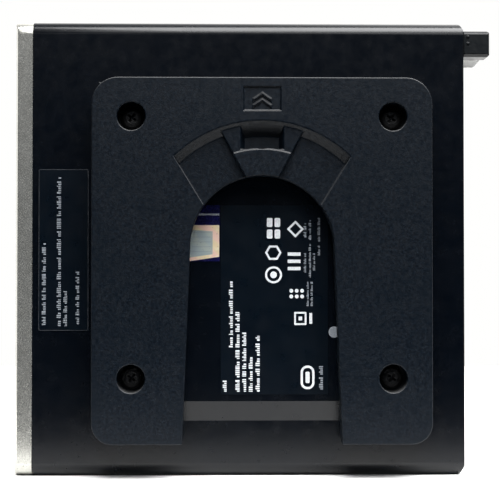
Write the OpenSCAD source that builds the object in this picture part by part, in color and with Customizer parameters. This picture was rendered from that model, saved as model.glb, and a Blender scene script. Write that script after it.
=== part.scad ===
// Small desktop computer in a folded steel case, with a quick-release mounting plate
// screwed to its underside. It stands on one long side: X runs from the front bezel to
// the rear ports, Y from the mounting plate to the access panel, and Z up.

/* [Case] */
// Side-to-side width of the case, which is its height as it stands
case_w = 177; // [150:1:220]
// Front-to-back depth of the case with its bezel
case_d = 175; // [172:1:215]
// Thickness of the case, from underside to access panel
case_t = 32.5; // [31:0.5:42]
// Thickness of the steel sheet
sheet = 0.8; // [0.6:0.1:1]
// Outside radius of the two long bends of the underside
bend_r = 5; // [4:0.5:7]
// Outside radius of the two long bends of the access panel
cover_bend_r = 3; // [2.5:0.5:4]
// Height up the side walls of the seam below the access panel
seam_y = 24; // [18:0.5:26]
// Gap between pieces that slide or lift past each other
gap = 0.3; // [0.2:0.05:0.5]

/* [Underside pad] */
// How far the middle of the underside stands out
pad_rise = 1.5; // [0.8:0.1:3]
// Width of the ramp round the pad
pad_ramp = 7.6; // [4:0.2:10]
// Edge of the pad's ramp above the plate's lower edge
pad_foot = 8; // [4:0.5:14]

/* [Mounting plate] */
// Hole pitch of the square screw pattern
hole_pitch = 100; // [75:25:100]
// Width of the plate
plate_w = 130; // [125:1:145]
// Height of the plate
plate_h = 140; // [136:0.5:150]
// Thickness of the plate
plate_t = 12; // [10:0.5:16]
// Plate edge above the upper pair of screws
plate_head = 15; // [12:0.5:20]
// Distance of the screw pattern's centre from the rear panel
mount_from_rear = 79.3; // [75:0.1:90]
// Corner radius of the plate's top corners
plate_corner_r = 10; // [5:0.5:14]
// Corner radius of the plate's bottom corners
plate_foot_r = 8; // [4:0.5:12]
// Half width of the hub slot, and radius of its arch
slot_r = 27.5; // [20:0.5:30]
// Extra half width of the hub slot at its open end
slot_flare = 3.1; // [0:0.1:5]
// Depth of the undercut behind the slot's rim
undercut_t = 4.5; // [4.2:0.1:6]
// Width of the undercut behind the slot's rim
undercut_w = 5.5; // [2:0.5:7]
// Radius of the fan-shaped recess above the slot
fan_recess_r = 48.5; // [44:0.1:52]
// Depth of the fan-shaped recess
fan_recess_t = 3.4; // [1.5:0.1:4]
// Depth of the latch pocket
pocket_t = 5.6; // [4:0.1:6]
// Radius of the screws' counterbores
counterbore_r = 5.4; // [4.8:0.1:6.5]

/* [Front bezel] */
// Visible depth of the bezel
bezel_d = 6.7; // [5.5:0.1:8]
// Wall thickness of the bezel
bezel_wall = 2; // [1.6:0.1:2.5]
// Radius of the power button
button_r = 5; // [4:0.1:6]
// Travel of the power button
button_travel = 1.2; // [0.6:0.1:2]

/* [Thumbscrew] */
// Width of the thumbscrew's squarish knob across its flats
knob_w = 10.3; // [8:0.1:10.8]
// Width of the bevels along the knob's corners
knob_bevel = 1.2; // [0.8:0.1:2]
// Length of the thumbscrew's knob
knob_l = 10.3; // [7:0.1:12]
// Distance of the thumbscrew's axis from the case's upper side
knob_from_side = 7; // [7:0.5:12]
// Height of the thumbscrew's axis above the underside
knob_y = 13; // [11:0.5:14]
// Travel of the thumbscrew as it is undone
knob_travel = 3.5; // [2:0.1:4]

/* [Cooler] */
// Outer radius of the fan's impeller
impeller_r = 28.5; // [22:0.5:30]
// Number of blades on the impeller
blade_count = 27; // [15:1:35]
// Distance between the heat sink's fins
fin_pitch = 2.2; // [1.8:0.1:4]

/* [Hidden] */
$fn = 64;
eps = 0.01;
side_y = sheet + 0.1;            // air between pieces that are screwed or welded together
thread_r = 2;                    // radius of the M4 screws
thread_gap = 0.06;               // radial air between a screw and its nut
mount_x = case_d - mount_from_rear;
mount_z = case_w / 2;
plate_x0 = mount_x - plate_w / 2;
plate_x1 = mount_x + plate_w / 2;
plate_z1 = mount_z + hole_pitch / 2 + plate_head;
plate_z0 = plate_z1 - plate_h;
plate_face = -pad_rise - plate_t;
pad_inset = 1.5;
pad_x0 = plate_x0 + pad_inset;
pad_x1 = plate_x1 - pad_inset;
pad_z0 = plate_z0 + pad_foot;
pad_z1 = plate_z1 - 0.3;
hole_offsets = [-hole_pitch / 2, hole_pitch / 2];

cover_y = seam_y + gap;
cover_in = case_t - sheet;       // inner face of the access panel
flange_x = case_d + gap;         // inner face of the access panel's rear flange
flange_out = flange_x + sheet;
knob_z = case_w - knob_from_side;
knob_x = flange_out + gap;
total_x = knob_x + knob_l;
knob_reach = norm([knob_w / 2, knob_w / 2 - knob_bevel]);
lip_y = case_t - 5;
rear_in = case_d - sheet;        // inner face of the rear panel

board_y = 5;
board_t = 1.6;
board_top = board_y + board_t;
board_x0 = 12;
board_x1 = rear_in - 0.6;
board_z0 = 5.5;
board_z1 = case_w - 5.5;
post_x = [board_x0 + 6, mid(board_x0, board_x1), board_x1 - 23];
post_z = [board_z0 + 4, board_z1 - 4];
post_r = 2.6;
post_thread_r = 1.5;

window_y = [5.6, case_t - 5];
window_z = [7, case_w - 7];
insert_x = [0.8, bezel_wall, 3.2];
frame_x = 9;
port_y = board_top + 3.6;
button_z = case_w - 15.5;
button_y = case_t / 2 + 0.5;
usb_c_z = case_w - 32;
front_usb_z = [case_w - 48, case_w - 66];
audio_z = [case_w - 80, case_w - 91];
audio_bore_r = 1.8;
audio_l = 14;
port_gap = 0.25;
port_face_x = 2.2;

video_z = [case_w - 30, case_w - 51];
option_z = case_w - 73;
inlet_z = case_w / 2 - 14.8;
light_z = inlet_z - 12.3;
usb_stack_z = [light_z - 12.4, light_z - 29.4];
jack_z = light_z - 47.4;
inlet_w = 11.5;
screw_z = case_w / 2 - 0.1;
screw_y = 22.5;

cooler_top = case_t - 4.5;
cooler_x0 = board_x1 - 103;
cooler_z0 = case_w - 83;
cooler_z1 = case_w - 17;
sink_base_y = 9.9;
sink_base_t = 2.5;
housing_y = sink_base_y + sink_base_t;
housing_wall = 1.2;
housing_gap = 1.2;
impeller_x = cooler_x0 + housing_gap + impeller_r + 1.2 + housing_wall;
impeller_z = mid(cooler_z0, cooler_z1);
housing_x1 = cooler_x0 + 75;
fins_x0 = housing_x1 + 1.5;
fins_x1 = board_x1 - 1.4;
ports_x0 = board_x1 - 14;
cage_y = 19.3;
drive_size = [100.2, 7, 69.85];
drive_x = 32;
drive_z = board_z0 + 4.5;

origin = [-total_x / 2, -(case_t + plate_face) / 2, 0];

function mid(a, b) = (a + b) / 2;

// ---- building blocks: each takes its extent along the axis it is named for ----

module block(low, high) {
    translate(low) cube(high - low);
}

module rod_x(r, x0, x1, y, z) {
    translate([x0, y, z]) rotate([0, 90, 0]) cylinder(r = r, h = x1 - x0);
}

module rod_y(r, y0, y1, x, z) {
    translate([x, y0, z]) rotate([-90, 0, 0]) cylinder(r = r, h = y1 - y0);
}

module across_x(x0, x1) {
    translate([x0, 0, 0]) rotate([90, 0, 90]) linear_extrude(x1 - x0) children();
}

module across_y(y0, y1) {
    translate([0, y1, 0]) rotate([90, 0, 0]) linear_extrude(y1 - y0) children();
}

module across_z(z0, z1) {
    translate([0, 0, z0]) linear_extrude(z1 - z0) children();
}

module rounded(size, r) {
    for (flip = [0, 1])
        square(flip ? [size.x - 2 * r, size.y] : [size.x, size.y - 2 * r], center = true);
    for (u = [-1, 1], v = [-1, 1])
        translate([u * (size.x / 2 - r), v * (size.y / 2 - r)]) circle(r);
}

// Cross-section of the closed case in Y and Z, taken in by an inset
module case_outline(inset) {
    r0 = bend_r - inset;
    r1 = cover_bend_r - inset;
    high = case_t - inset;
    top = case_w - inset;
    translate([inset, inset + r0]) square([high - inset, top - inset - 2 * r0]);
    translate([inset + r0, inset + r1]) square([high - inset - r0, top - inset - 2 * r1]);
    translate([inset + r0, inset]) square([high - inset - r0 - r1, top - inset]);
    for (z = [inset + r0, top - r0]) translate([inset + r0, z]) circle(r0);
    for (z = [inset + r1, top - r1]) translate([high - r1, z]) circle(r1);
}

module outline_between(inset, y0, y1) {
    intersection() {
        case_outline(inset);
        translate([y0, -1]) square([y1 - y0, case_w + 2]);
    }
}

module shell_between(y0, y1) {
    difference() {
        outline_between(0, y0, y1);
        case_outline(sheet);
    }
}

// ---- case ----

// The pad is a shallow hipped bump: two ramped prisms crossed
module pad_solid(lift, over) {
    y0 = -pad_rise + lift;
    intersection() {
        across_x(pad_x0, pad_x1) polygon([
            [y0, pad_z0 + pad_ramp], [lift, pad_z0], [lift + over, pad_z0],
            [lift + over, pad_z1], [lift, pad_z1], [y0, pad_z1 - pad_ramp]]);
        across_z(pad_z0, pad_z1) polygon([
            [pad_x0 + pad_ramp, y0], [pad_x0, lift], [pad_x0, lift + over],
            [pad_x1, lift + over], [pad_x1, lift], [pad_x1 - pad_ramp, y0]]);
    }
}

nut_r = 4;
upper_cut = [1.4, 2.9];
lower_cut = [1.8, 3.6];

// Slanted cut across a rear corner, at the foot (0) or the top (1) of the case
module corner_cut(side, size) {
    translate([0, 0, side * case_w]) mirror([0, 0, side]) across_y(-1, case_t) polygon([
        [case_d - size.x - eps, -eps], [case_d - size.x, 0], [case_d, size.y],
        [case_d + eps, size.y], [case_d + eps, -eps]]);
}

module corner_cuts() {
    corner_cut(0, lower_cut);
    corner_cut(1, upper_cut);
}

module base_pan() {
    joggle = sheet + gap;
    color("#15171a") difference() {
        union() {
            across_x(bezel_d, case_d) shell_between(0, seam_y);
            pad_solid(0, sheet / 2);
            for (side = [0, 1]) translate([0, 0, side * case_w]) mirror([0, 0, side]) {
                block([bezel_d, seam_y - sheet, sheet / 2], [rear_in - gap, seam_y, joggle + sheet]);
                block([bezel_d, seam_y - sheet, joggle],
                    [rear_in - gap, case_t - cover_bend_r, joggle + sheet]);
            }
        }
        pad_solid(sheet, eps);
        for (u = hole_offsets, v = hole_offsets)
            rod_y(nut_r, -pad_rise - 1, sheet, mount_x + u, mount_z + v);
        corner_cuts();
    }
}

module mounting_nuts() {
    color("#b8b9ba") for (u = hole_offsets, v = hole_offsets) difference() {
        union() {
            rod_y(nut_r - 0.02, -pad_rise, -pad_rise + sheet, mount_x + u, mount_z + v);
            rod_y(nut_r + 1, -pad_rise + sheet, -pad_rise + sheet + 2.6, mount_x + u, mount_z + v);
        }
        rod_y(thread_r + thread_gap, -pad_rise - 1, board_y, mount_x + u, mount_z + v);
    }
}

vent_pitch = 4;
vent_slot = [9.5, 2.2];

module rear_panel() {
    vents = floor((cooler_z1 - cooler_z0 - 4) / vent_pitch);
    color("#1b1d20") difference() {
        union() {
            across_x(rear_in, case_d) outline_between(side_y, side_y, cover_in - gap);
            for (side = [0, 1]) translate([0, 0, side * case_w]) mirror([0, 0, side])
                block([rear_in - 7, side_y + 5, side_y], [rear_in, seam_y - 2, side_y + sheet]);
        }
        for (i = [0 : vents - 1])
            across_x(rear_in - 1, case_d + 1)
                translate([cooler_top - 6.4, cooler_z0 + 4 + i * vent_pitch])
                    rounded(vent_slot, vent_slot.y / 2 - eps);
        rod_x(nut_r - 0.4, rear_in - 1, case_d + 1, knob_y, knob_z);
        for (z = video_z) port_hole(video_size, z);
        port_hole(option_size - [6, 4], option_z, option_foot + 2);
        port_hole([inlet_w, inlet_w - 0.5], inlet_z);
        for (z = usb_stack_z) port_hole(stack_size, z);
        port_hole(jack_size, jack_z);
        rod_x(light_r + 0.1, rear_in - 1, case_d + 1, light_y, light_z);
        rod_x(1.6, rear_in - 1, case_d + 1, screw_y, screw_z);
        rod_x(plug_r, rear_in - 1, case_d + 1, plug_y, plug_z);
        lock_slot();
        corner_cuts();
    }
}

// Rectangular slot for a cable lock
module lock_slot() {
    across_x(rear_in - 1, case_d + 1) translate([screw_y + 1.5, inlet_z + 3]) rounded([3, 7], 0.6);
}

// Opening in the rear panel round a port of a given [width, height]
module port_hole(size, z, foot = board_top) {
    block([rear_in - 1, foot - port_gap, z - size.x / 2 - port_gap],
        [case_d + 1, foot + size.y + port_gap, z + size.x / 2 + port_gap]);
}

module front_frame() {
    color("#8f9296") difference() {
        union() {
            across_x(frame_x, frame_x + sheet) outline_between(side_y, side_y, cover_in - gap);
            for (side = [0, 1]) translate([0, 0, side * case_w]) mirror([0, 0, side])
                block([frame_x, side_y + 5, side_y], [frame_x + 7, seam_y - 2, side_y + sheet]);
        }
        for (side = [0, 1]) translate([0, 0, side * case_w]) mirror([0, 0, side])
            block([frame_x - 1, seam_y - 2 * sheet, 0], [frame_x + 2, case_t, 2 * sheet + gap + 0.3]);
        block([frame_x - 1, board_top + 2, 12], [frame_x + 2, cover_in - 6, case_w - 104]);
        block([frame_x - 1, board_y - 1, audio_z[1] - 6], [frame_x + 2, board_top + 8.4, usb_c_z + 7]);
        rod_x(button_r + 2, frame_x - 1, frame_x + 2, button_y, button_z);
    }
}

// ---- access panel: the top cover, which lifts off along +Y ----

module access_panel() {
    notch_r = thread_r + 0.5;
    color("#17191c") difference() {
        union() {
            across_x(bezel_d + 0.2, flange_out) shell_between(cover_y, case_t);
            across_x(flange_x, flange_out) outline_between(0, lip_y, case_t);
            block([flange_x, knob_y - 4, knob_z - 8], [flange_out, lip_y + 1, knob_z + 5.5]);
        }
        block([flange_x - 1, knob_y - 5, knob_z - notch_r], [flange_out + 1, knob_y, knob_z + notch_r]);
        rod_x(notch_r, flange_x - 1, flange_out + 1, knob_y, knob_z);
    }
}

loop_t = 1.2;

// Angle bracket on the rear flange, with a hole for a padlock's shackle
module padlock_loop() {
    y1 = case_t - 6.2;
    reach = total_x - 0.9;
    z0 = knob_z - 7;
    z1 = knob_z + 5.5;
    color("#c4c4c0") difference() {
        union() {
            across_y(y1 - loop_t, y1) polygon([
                [flange_out, z0], [reach - 2.9, z0], [reach, z0 + 2.9], [reach, z1 - 2.9],
                [reach - 2.9, z1], [flange_out, z1]]);
            block([flange_out, knob_y + knob_reach + 0.6, z0], [flange_out + loop_t, y1 - loop_t, z1]);
        }
        rod_y(3, y1 - loop_t - 1, y1 + 1, mid(flange_out + loop_t, reach) + 0.2, mid(z0, z1));
    }
}

// ---- front bezel ----

module window_outline(grow) {
    translate([mid(window_y[0], window_y[1]), mid(window_z[0], window_z[1])])
        rounded([window_y[1] - window_y[0] + 2 * grow, window_z[1] - window_z[0] + 2 * grow], 2 + grow);
}

bezel_slant = [0.9, 2];

module front_bezel() {
    color("#a9a8a2") {
        difference() {
            across_x(0, bezel_d) case_outline(0.2);
            across_z(-1, case_w + 1) polygon([
                [-eps, -eps], [bezel_slant.x, -eps], [bezel_slant.x, 0.2], [0, 0.2 + bezel_slant.y],
                [-eps, 0.2 + bezel_slant.y]]);
            across_x(bezel_wall, bezel_d + 1) case_outline(0.2 + bezel_wall);
            across_x(-1, bezel_wall + 1) window_outline(0);
        }
        for (z = [30, mount_z, case_w - 30])
            block([bezel_wall, sheet + gap, z - 5], [frame_x - 0.2, sheet + gap + 1.2, z + 5]);
    }
}

grille_pitch = 3;
grille_slot = [14, 1.5];

module front_insert() {
    slots = floor((audio_z[1] - 22) / grille_pitch);
    upper = floor((usb_c_z - audio_z[1]) / grille_pitch);
    color("#121316") difference() {
        union() {
            across_x(insert_x[0], insert_x[1]) window_outline(-0.15);
            across_x(insert_x[1], insert_x[2]) window_outline(1.2);
        }
        for (i = [0 : slots - 1])
            slot_hole(mid(window_y[0], window_y[1]), 13 + i * grille_pitch, grille_slot);
        for (i = [0 : upper])
            slot_hole(window_y[1] - 5.4, audio_z[1] + i * grille_pitch, [5, grille_slot.y]);
        rod_x(button_r + gap, 0, 4, button_y, button_z);
        for (z = front_usb_z) front_hole(usb_size, z);
        across_x(0, 4) translate([port_y, usb_c_z])
            rounded(usb_c_size + [0.5, 0.5], usb_c_size.x / 2 + 0.2);
        for (z = audio_z) rod_x(audio_barrel_r + port_gap, 0, 4, port_y, z);
        rod_x(light_r + 0.05, 0, 4, button_y + 7.5, button_z);
        rod_x(light_r + 0.05, 0, 4, button_y, button_z - 10);
    }
}

module slot_hole(y, z, size) {
    across_x(0, 4) translate([y, z]) rounded(size, size.y / 2 - eps);
}

module front_hole(size, z) {
    across_x(0, 4) translate([port_y, z])
        square([size.y + 2 * port_gap, size.x + 2 * port_gap], center = true);
}

module power_button() {
    color("#2a2c2f") difference() {
        union() {
            rod_x(button_r, 0.4, insert_x[2] + gap + 1, button_y, button_z);
            rod_x(button_r + 1, insert_x[2] + gap, insert_x[2] + gap + 1, button_y, button_z);
            rod_x(1.5, insert_x[2] + 1, frame_x + 3.6, button_y, button_z);
        }
        translate([-7.3, button_y, button_z]) sphere(r = 8);
    }
}

module power_switch() {
    x0 = frame_x + 3.6 + button_travel + gap;
    color("#3a3a3a") {
        block([x0 + 1, board_top, button_z - 3], [x0 + 4.5, button_y + 3, button_z + 3]);
        rod_x(1.6, x0, x0 + 1.5, button_y, button_z);
    }
}

light_r = 1;
light_y = board_top + 5.5;

module light_pipe(y, z) {
    rod_x(light_r, insert_x[0] - 0.1, frame_x - 1, y, z);
}

module power_light() {
    color("#dfe6ea") light_pipe(button_y + 7.5, button_z);
}

module drive_light() {
    color("#dfe6ea") light_pipe(button_y, button_z - 10);
}

// ---- mounting plate ----

// U-shaped slot in X and Z round the pattern's centre, grown by a margin
module slot_outline(grow) {
    r = slot_r + grow;
    foot = plate_z0 - mount_z - 1;
    circle(r);
    polygon([[-r, 0], [-r - slot_flare, foot], [r + slot_flare, foot], [r, 0]]);
}

// Area between two lines that open upwards from a point on the centre line
module wedge(apex, half_angle, r) {
    reach = 2 * r;
    polygon([[0, apex], [reach * tan(half_angle), apex + reach], [-reach * tan(half_angle), apex + reach]]);
}

// A recess that narrows with depth like the frustum of a cone, cut off by the wedge
module fan_cut(depth, apex, half_angle) {
    intersection() {
        translate([0, plate_face - eps, 0]) rotate([-90, 0, 0])
            cylinder(h = depth + eps, r1 = fan_recess_r + eps, r2 = fan_recess_r - depth);
        across_y(plate_face - 1, plate_face + depth + 1) wedge(apex, half_angle, fan_recess_r);
    }
}

// Plain emblem: two chevrons that point the way the hub slides in
module emblem() {
    for (z = [-emblem_step, 0])
        polygon([
            [-emblem_w / 2, z], [0, z + emblem_rise], [emblem_w / 2, z],
            [emblem_w / 2, z - emblem_line], [0, z + emblem_rise - emblem_line],
            [-emblem_w / 2, z - emblem_line]]);
}

emblem_w = 7;
emblem_rise = 2.4;
emblem_line = 1.1;
emblem_step = 2.4;
wedge_apex = -20.5;
wedge_angle = 31.5;
block_apex = 14.9;
block_angle = 28;
flap_r = 37.6;
flap_t = 0.4;
shoulder_t = 1.3;
pocket_half = 8.7;

module latch_block() {
    translate([0, plate_face, 0]) difference() {
        intersection() {
            across_y(flap_t, fan_recess_t + 1) wedge(block_apex, block_angle, fan_recess_r);
            rod_y(fan_recess_r - 0.6, 0, plate_t, 0, 0);
        }
        across_y(-1, shoulder_t) difference() {
            circle(fan_recess_r + 1);
            circle(flap_r);
        }
        rod_y(slot_r, -1, plate_t, 0, 0);
    }
}

// Pocket with sloping sides: a trapezoid prism crossed with the outer cone
module latch_pocket() {
    intersection() {
        across_z(flap_r, fan_recess_r + 1) polygon([
            [-pocket_half, plate_face - eps], [pocket_half, plate_face - eps],
            [pocket_half - 1.9, plate_face + pocket_t], [-pocket_half + 1.9, plate_face + pocket_t]]);
        translate([0, plate_face - eps, 0]) rotate([-90, 0, 0])
            cylinder(h = pocket_t + eps, r1 = fan_recess_r + eps, r2 = fan_recess_r - pocket_t);
    }
}

module plate_outline() {
    w = plate_w / 2;
    top = plate_z1 - mount_z;
    foot = plate_z0 - mount_z;
    translate([-w + plate_corner_r, top - plate_corner_r]) circle(plate_corner_r);
    translate([w - plate_corner_r, top - plate_corner_r]) circle(plate_corner_r);
    translate([-w + plate_foot_r, foot + plate_foot_r]) circle(plate_foot_r);
    translate([w - plate_foot_r, foot + plate_foot_r]) circle(plate_foot_r);
    translate([-w, foot + plate_foot_r]) square([plate_w, plate_h - plate_foot_r - plate_corner_r]);
    translate([-w + plate_corner_r, top - plate_corner_r - 1])
        square([plate_w - 2 * plate_corner_r, plate_corner_r + 1]);
    translate([-w + plate_foot_r, foot]) square([plate_w - 2 * plate_foot_r, plate_foot_r + 1]);
}

plate_wall = 3.5;

// Moulded hollows in the back of one leg, above and below its lower screw boss
module back_pockets(side) {
    boss = counterbore_r + plate_wall;
    near = slot_r + slot_flare + undercut_w + plate_wall;
    far = plate_w / 2 - plate_wall;
    foot = plate_z0 - mount_z + plate_wall + 1;
    for (span = [[foot, -hole_pitch / 2 - boss], [-hole_pitch / 2 + boss, hole_pitch / 2 - boss]])
        block([min(side * near, side * far), plate_face + plate_wall, span[0]],
            [max(side * near, side * far), 0, span[1]]);
}

mark_z = 56.8;
mark_size = [14.2, 9];
mark_t = 0.6;

module mounting_plate() {
    color("#1f2328") translate([mount_x, 0, mount_z]) {
        difference() {
            across_y(plate_face, -pad_rise) plate_outline();
            across_y(plate_face - 1, 0) slot_outline(0);
            across_y(-pad_rise - undercut_t, 0) slot_outline(undercut_w);
            fan_cut(fan_recess_t, wedge_apex, wedge_angle);
            latch_pocket();
            for (side = [-1, 1]) back_pockets(side);
            for (u = hole_offsets, v = hole_offsets) {
                rod_y(counterbore_r, plate_face - 1, -pad_rise - 3, u, v);
                rod_y(thread_r + 0.3, plate_face, 0, u, v);
            }
            translate([0, 0, mark_z]) across_y(plate_face - 1, plate_face + mark_t)
                square(mark_size, center = true);
        }
        difference() {
            latch_block();
            latch_pocket();
        }
        translate([0, 0, mark_z]) across_y(plate_face + 0.1, plate_face + mark_t + 0.2) emblem();
    }
}

head_r = 4.2;
head_t = 2.6;
seat_y = -pad_rise - 3;

module mounting_screws() {
    color("#2b2b2d") for (u = hole_offsets, v = hole_offsets)
        translate([mount_x + u, 0, mount_z + v]) difference() {
            union() {
                translate([0, seat_y, 0]) rotate([90, 0, 0]) rotate_extrude() polygon([
                    [0, 0], [head_r, 0], [head_r, 1.4], [head_r - 0.7, 2.2],
                    [head_r - 1.9, head_t], [0, head_t]]);
                rod_y(thread_r, seat_y - 1, 2.2, 0, 0);
            }
            cross_recess(seat_y - head_t, 1.9, 2.1);
        }
}

// Cross-shaped driver recess, cut into a head that faces -Y
module cross_recess(y, depth, reach) {
    for (turn = [0, 90]) rotate([0, turn + 35, 0])
        across_z(-0.45, 0.45) polygon([
            [-reach, y - 1], [reach, y - 1], [reach - 0.1, y], [0.5, y + depth],
            [-0.5, y + depth], [-reach + 0.1, y]]);
}

label_t = 0.15;
// Labels end inside the undercut: their width and top edge from the pattern's centre
label_reach = slot_r + 0.6;
label_top = sqrt(pow(slot_r + undercut_w, 2) - pow(label_reach, 2)) - 0.7;
seal_w = 11.9;

module asset_label() {
    color("#0a0d14") block([9, -label_t, mount_z - 32.2], [28.6, 0, mount_z + 30.8]);
}

module rating_label() {
    x0 = mount_x - label_reach + seal_w + 0.4;
    x1 = mount_x + slot_r - 1.7;
    color("#0a1018")
        block([x0, -pad_rise - label_t, mount_z - 56.8], [x1, -pad_rise, mount_z + label_top]);
}

module seal_sticker() {
    x0 = mount_x - label_reach;
    color("#9aa5a8")
        block([x0, -pad_rise - label_t, mount_z - 5.2], [x0 + seal_w, -pad_rise, mount_z + label_top]);
}

// ---- thumbscrew ----

knob_tip = 0.7;                  // bevel round the knob's outer end
pip_r = 0.5;

// Side view of the knob, round a middle line at a given height
module knob_side(height) {
    w = knob_w / 2;
    translate([0, height]) polygon([
        [knob_x, -w], [total_x - knob_tip, -w], [total_x, -w + knob_tip],
        [total_x, w - knob_tip], [total_x - knob_tip, w], [knob_x, w]]);
}

module knob_section() {
    w = knob_w / 2;
    polygon([for (turn = [0 : 90 : 270], side = [-1, 1]) let(v = side * (w - knob_bevel))
        [w * cos(turn) - v * sin(turn), w * sin(turn) + v * cos(turn)]]);
}

module thumbscrew() {
    slot_half = knob_w / 2 - 1.3;
    color("#202225") difference() {
        union() {
            intersection() {
                across_x(knob_x, total_x) translate([knob_y, knob_z]) knob_section();
                across_y(knob_y - knob_w, knob_y + knob_w) knob_side(knob_z);
                across_z(knob_z - knob_w, knob_z + knob_w) knob_side(knob_y);
            }
            for (z = [0, 2.7])
                rod_y(pip_r, knob_y - knob_w / 2 - 0.25, knob_y, knob_x + 1.7, knob_z + z);
            rod_x(thread_r, ring_x + ring_t + 0.1, knob_x + 1, knob_y, knob_z);
            rod_x(thread_r - ring_groove, ring_x - 1, ring_x + ring_t + 1, knob_y, knob_z);
            rod_x(thread_r, ring_x - 1.6, ring_x - 0.1, knob_y, knob_z);
        }
        block([total_x - 1.2, knob_y - slot_half, knob_z - 0.5],
            [total_x + 1, knob_y + slot_half, knob_z + 0.5]);
    }
}

thumb_nut_x = rear_in - 2.2;
ring_t = 0.8;
ring_groove = 0.5;
ring_x = thumb_nut_x - knob_travel - gap - 0.2 - ring_t;

// Spring ring in the groove that keeps the thumbscrew captive
module thumbscrew_retainer() {
    color("#b5b6b8") difference() {
        rod_x(3.6, ring_x, ring_x + ring_t, knob_y, knob_z);
        rod_x(thread_r - ring_groove + thread_gap, ring_x - 1, ring_x + ring_t + 1, knob_y, knob_z);
    }
}

module thumbscrew_nut() {
    color("#b5b6b8") difference() {
        union() {
            rod_x(nut_r + 0.4, thumb_nut_x, rear_in, knob_y, knob_z);
            rod_x(nut_r - 0.42, rear_in - 0.5, case_d, knob_y, knob_z);
        }
        rod_x(thread_r + thread_gap, thumb_nut_x - 1, case_d + 1, knob_y, knob_z);
    }
}

// ---- system board ----

module system_board() {
    color("#123a26") difference() {
        block([board_x0, board_y, board_z0], [board_x1, board_top, board_z1]);
        for (x = post_x, z = post_z) rod_y(post_thread_r + 0.2, board_y - 1, board_top + 1, x, z);
    }
}

module board_posts() {
    color("#c9a84a") for (x = post_x, z = post_z) difference() {
        rod_y(post_r, sheet, board_y, x, z);
        rod_y(post_thread_r + thread_gap, sheet + 1, board_y + 1, x, z);
    }
}

module board_screws() {
    color("#b9babb") for (x = post_x, z = post_z) difference() {
        union() {
            rod_y(2.8, board_top, board_top + 1.8, x, z);
            rod_y(post_thread_r, sheet + 1.4, board_top + 1, x, z);
        }
        for (turn = [0, 90]) translate([x, 0, z]) rotate([0, turn, 0])
            block([-1.5, board_top + 1, -0.35], [1.5, board_top + 3, 0.35]);
    }
}

// ---- ports: [width along Z, height along Y], depth along X ----

usb_size = [13.1, 5.7];
usb_c_size = [3.2, 9];
stack_size = [14.4, 15.6];
jack_size = [16, 13.4];
video_size = [18.4, 8];
option_size = [24, 14];
option_foot = 7;                 // lower edge of the option cover above the underside
audio_barrel_r = 3;

// A USB receptacle's mouth at x = 0, opening towards -X, centred on the X axis
module usb_cavity(depth) {
    difference() {
        block([-1, -2.56, -6.25], [depth, 2.56, 6.25]);
        block([0.8, 0.1, -5.5], [depth + 1, 2, 5.5]);
    }
}

module front_usb(z) {
    color("#9ea1a4") difference() {
        union() {
            translate([port_face_x, port_y - usb_size.y / 2, z - usb_size.x / 2])
                cube([15, usb_size.y, usb_size.x]);
            block([board_x0 + 1, board_top, z - 5], [port_face_x + 15, port_y, z + 5]);
        }
        translate([port_face_x, port_y, z]) usb_cavity(11);
    }
}

module front_usb_c() {
    color("#9ea1a4") difference() {
        union() {
            across_x(port_face_x, port_face_x + 11) translate([port_y, usb_c_z])
                rounded(usb_c_size, usb_c_size.x / 2 - eps);
            block([board_x0 + 0.1, board_top, usb_c_z - 3.6], [port_face_x + 11, port_y, usb_c_z + 3.6]);
        }
        difference() {
            across_x(0, port_face_x + 7) translate([port_y, usb_c_z])
                rounded(usb_c_size - [0.6, 0.6], usb_c_size.x / 2 - 0.31);
            block([port_face_x + 0.8, port_y - 0.35, usb_c_z - 3.3],
                [port_face_x + 8, port_y + 0.35, usb_c_z + 3.3]);
        }
    }
}

module audio_jack(z) {
    difference() {
        union() {
            rod_x(audio_barrel_r, insert_x[0], frame_x + 4, port_y, z);
            block([board_x0 + 0.2, board_top, z - 3.4], [board_x0 + 8, port_y + 3, z + 3.4]);
        }
        rod_x(audio_bore_r, insert_x[0] - 1, insert_x[0] + audio_l, port_y, z);
    }
}

module usb_stack(z) {
    color("#a6a9ac") difference() {
        block([board_x1 - 16, board_top, z - stack_size.x / 2],
            [case_d + 0.1, board_top + stack_size.y, z + stack_size.x / 2]);
        for (y = [board_top + 3.8, board_top + 11.8])
            translate([case_d + 0.1, y, z]) mirror([1, 0, 0]) usb_cavity(13);
    }
}

module network_jack() {
    mouth = [11.8, 8.4];
    color("#a6a9ac") difference() {
        block([board_x1 - 19, board_top, jack_z - jack_size.x / 2],
            [case_d + 0.1, board_top + jack_size.y, jack_z + jack_size.x / 2]);
        block([board_x1 - 12, board_top + 1.6, jack_z - mouth.x / 2],
            [case_d + 1, board_top + 1.6 + mouth.y, jack_z + mouth.x / 2]);
        block([board_x1 - 8, board_top + 9, jack_z - 3.2], [case_d + 1, board_top + 12, jack_z + 3.2]);
    }
    color("#c9a84a") for (i = [-3.5 : 3.5])
        block([board_x1 - 12.5, board_top + 1.5, jack_z + i * 1.02 - 0.2],
            [board_x1 - 3, board_top + 2.2, jack_z + i * 1.02 + 0.2]);
}

module video_port(z) {
    half = [8.05, 2.4];
    yc = board_top + 4;
    color("#a6a9ac") difference() {
        block([ports_x0, board_top, z - video_size.x / 2],
            [case_d + 0.1, board_top + video_size.y, z + video_size.x / 2]);
        difference() {
            across_x(ports_x0 + 2, case_d + 1) translate([yc, z]) polygon([
                [-half.y, -half.x], [half.y, -half.x], [half.y, half.x],
                [-half.y + 2, half.x], [-half.y, half.x - 2]]);
            block([ports_x0, yc - 0.2, z - 6.4], [case_d - 1, yc + 1.2, z + 6.4]);
        }
    }
}

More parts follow.
